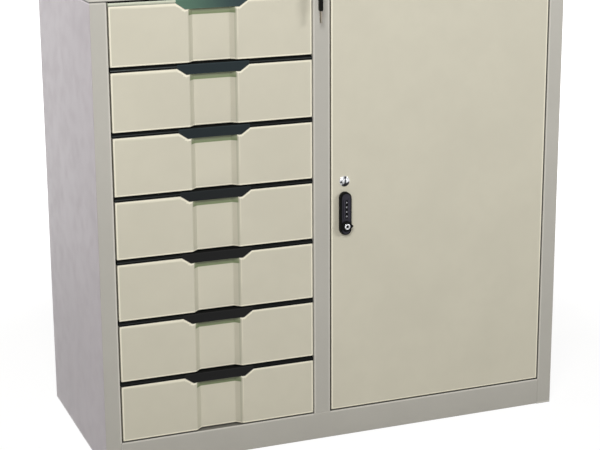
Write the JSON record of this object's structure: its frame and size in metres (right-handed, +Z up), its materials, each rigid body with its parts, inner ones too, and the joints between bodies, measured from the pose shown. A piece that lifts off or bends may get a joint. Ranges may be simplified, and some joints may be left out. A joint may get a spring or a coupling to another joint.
{
  "type": "lockable drawer and door cabinet",
  "caption": "Low steel cabinet with a column of recessed-pull drawers on roller slides, a gang lock, and a hinged door with a key lock and a combination lock over shelves.",
  "frame": {"origin": "middle of the footprint, on the floor, on the underside of the stiffener below the cabinet's floor pan", "axes": "+X to the right as seen from the front, along the width; +Y from the front face towards the back; +Z up"},
  "size_m": [0.9, 0.4278, 0.88],
  "materials": {
    "side_paint": "satin powder coat",
    "frame_paint": "satin powder coat",
    "cream_paint": "satin powder coat",
    "inner_paint": "satin powder coat",
    "zinc_plate": "zinc plated",
    "chrome_plate": "polished",
    "nickel": "nickel plated",
    "slate_plastic": "satin",
    "black_plastic": "semi gloss",
    "nylon": "natural"
  },
  "bodies": {
    "carcass": {"left_side_panel": "side_paint", "right_side_panel": "side_paint", "back_panel": "side_paint", "base_pan": "inner_paint", "base_rail": "frame_paint", "top_cap": "frame_paint", "centre_partition": "frame_paint", "rear_upright": "inner_paint", "cabinet_runners": "zinc_plate", "cabinet_rollers": "nylon", "shelf_upper": "inner_paint", "shelf_lower": "inner_paint", "shelf_standards": "zinc_plate", "shelf_clips": "zinc_plate", "hinge_plates": "zinc_plate", "hinge_pins": "zinc_plate", "gang_lock_housing": "chrome_plate", "lock_bar_guides": "zinc_plate"},
    "lock_bar": {"lock_bar": "zinc_plate"},
    "gang_plug": {"gang_lock_plug": "chrome_plate", "gang_lock_cam": "zinc_plate", "gang_key": "nickel", "gang_key_bow": "black_plastic"},
    "key_ring": {"key_ring": "nickel"},
    "spare_key": {"spare_key": "nickel", "spare_key_bow": "black_plastic"},
    "door": {"door_skin": "cream_paint", "door_liner": "cream_paint", "cam_lock_housing": "chrome_plate", "combination_lock_case": "black_plastic"},
    "cam_lock": {"cam_lock_plug": "chrome_plate", "cam_lock_tongue": "zinc_plate"},
    "combination_knob": {"combination_knob": "black_plastic", "combination_tongue": "zinc_plate"},
    "override_plug": {"override_plug": "chrome_plate"},
    "number_wheel_1": {"number_wheel_1": "black_plastic"},
    "number_wheel_2": {"number_wheel_2": "black_plastic"},
    "number_wheel_3": {"number_wheel_3": "black_plastic"},
    "number_wheel_4": {"number_wheel_4": "black_plastic"},
    "drawer_1": {"drawer_1_front": "cream_paint", "drawer_1_tray": "inner_paint", "drawer_1_handle": "slate_plastic"},
    "drawer_2": {"drawer_2_front": "cream_paint", "drawer_2_tray": "inner_paint", "drawer_2_handle": "slate_plastic"},
    "drawer_3": {"drawer_3_front": "cream_paint", "drawer_3_tray": "inner_paint", "drawer_3_handle": "slate_plastic"},
    "drawer_4": {"drawer_4_front": "cream_paint", "drawer_4_tray": "inner_paint", "drawer_4_handle": "slate_plastic"},
    "drawer_5": {"drawer_5_front": "cream_paint", "drawer_5_tray": "inner_paint", "drawer_5_handle": "slate_plastic"},
    "drawer_6": {"drawer_6_front": "cream_paint", "drawer_6_tray": "inner_paint", "drawer_6_handle": "slate_plastic"},
    "drawer_7": {"drawer_7_front": "cream_paint", "drawer_7_tray": "inner_paint", "drawer_7_handle": "slate_plastic"}
  },
  "joints": [
    {"name": "drawer_1_slide", "type": "slide", "parent": "carcass", "child": "drawer_1", "axis": [0, -1, 0], "range_m": [0, 0.27]},
    {"name": "drawer_2_slide", "type": "slide", "parent": "carcass", "child": "drawer_2", "axis": [0, -1, 0], "range_m": [0, 0.27]},
    {"name": "drawer_3_slide", "type": "slide", "parent": "carcass", "child": "drawer_3", "axis": [0, -1, 0], "range_m": [0, 0.27]},
    {"name": "drawer_4_slide", "type": "slide", "parent": "carcass", "child": "drawer_4", "axis": [0, -1, 0], "range_m": [0, 0.27]},
    {"name": "drawer_5_slide", "type": "slide", "parent": "carcass", "child": "drawer_5", "axis": [0, -1, 0], "range_m": [0, 0.27]},
    {"name": "drawer_6_slide", "type": "slide", "parent": "carcass", "child": "drawer_6", "axis": [0, -1, 0], "range_m": [0, 0.27]},
    {"name": "drawer_7_slide", "type": "slide", "parent": "carcass", "child": "drawer_7", "axis": [0, -1, 0], "range_m": [0, 0.27]},
    {"name": "door_hinge", "type": "hinge", "parent": "carcass", "child": "door", "pos_m": [0.414, -0.196, 0.4445], "axis": [0, 0, 1], "range_deg": [0, 110]},
    {"name": "cam_lock_turn", "type": "hinge", "parent": "door", "child": "cam_lock", "pos_m": [0.008, -0.19, 0.491], "axis": [0, 1, 0], "range_deg": [0, 90]},
    {"name": "combination_knob_turn", "type": "hinge", "parent": "door", "child": "combination_knob", "pos_m": [0.008, -0.19, 0.4093], "axis": [0, 1, 0], "range_deg": [0, 90]},
    {"name": "override_turn", "type": "hinge", "parent": "combination_knob", "child": "override_plug", "pos_m": [0.008, -0.208, 0.4093], "axis": [0, 1, 0], "range_deg": [0, 90]},
    {"name": "number_wheel_1_turn", "type": "hinge", "parent": "door", "child": "number_wheel_1", "pos_m": [0.008, -0.2046, 0.4534], "axis": [0, 0, 1], "continuous": true},
    {"name": "number_wheel_2_turn", "type": "hinge", "parent": "door", "child": "number_wheel_2", "pos_m": [0.008, -0.2046, 0.4448], "axis": [0, 0, 1], "continuous": true},
    {"name": "number_wheel_3_turn", "type": "hinge", "parent": "door", "child": "number_wheel_3", "pos_m": [0.008, -0.2046, 0.4362], "axis": [0, 0, 1], "continuous": true},
    {"name": "number_wheel_4_turn", "type": "hinge", "parent": "door", "child": "number_wheel_4", "pos_m": [0.008, -0.2046, 0.4276], "axis": [0, 0, 1], "continuous": true},
    {"name": "gang_lock_turn", "type": "hinge", "parent": "carcass", "child": "gang_plug", "pos_m": [-0.046, -0.19, 0.858], "axis": [0, 1, 0], "range_deg": [0, 90]},
    {"name": "lock_bar_slide", "type": "slide", "parent": "carcass", "child": "lock_bar", "axis": [0, 0, 1], "range_m": [0, 0.01]},
    {"name": "key_ring_swing", "type": "hinge", "parent": "gang_plug", "child": "key_ring", "pos_m": [-0.046, -0.2218, 0.858], "axis": [1, 0, 0], "range_deg": [-45, 8]},
    {"name": "spare_key_swing", "type": "hinge", "parent": "key_ring", "child": "spare_key", "pos_m": [-0.046, -0.2218, 0.83163], "axis": [1, 0, 0], "range_deg": [-45, 8]}
  ],
  "couplings": [
    {"joint": "gang_lock_turn", "follows": "lock_bar_slide", "rad_per_m": 157.07}
  ]
}
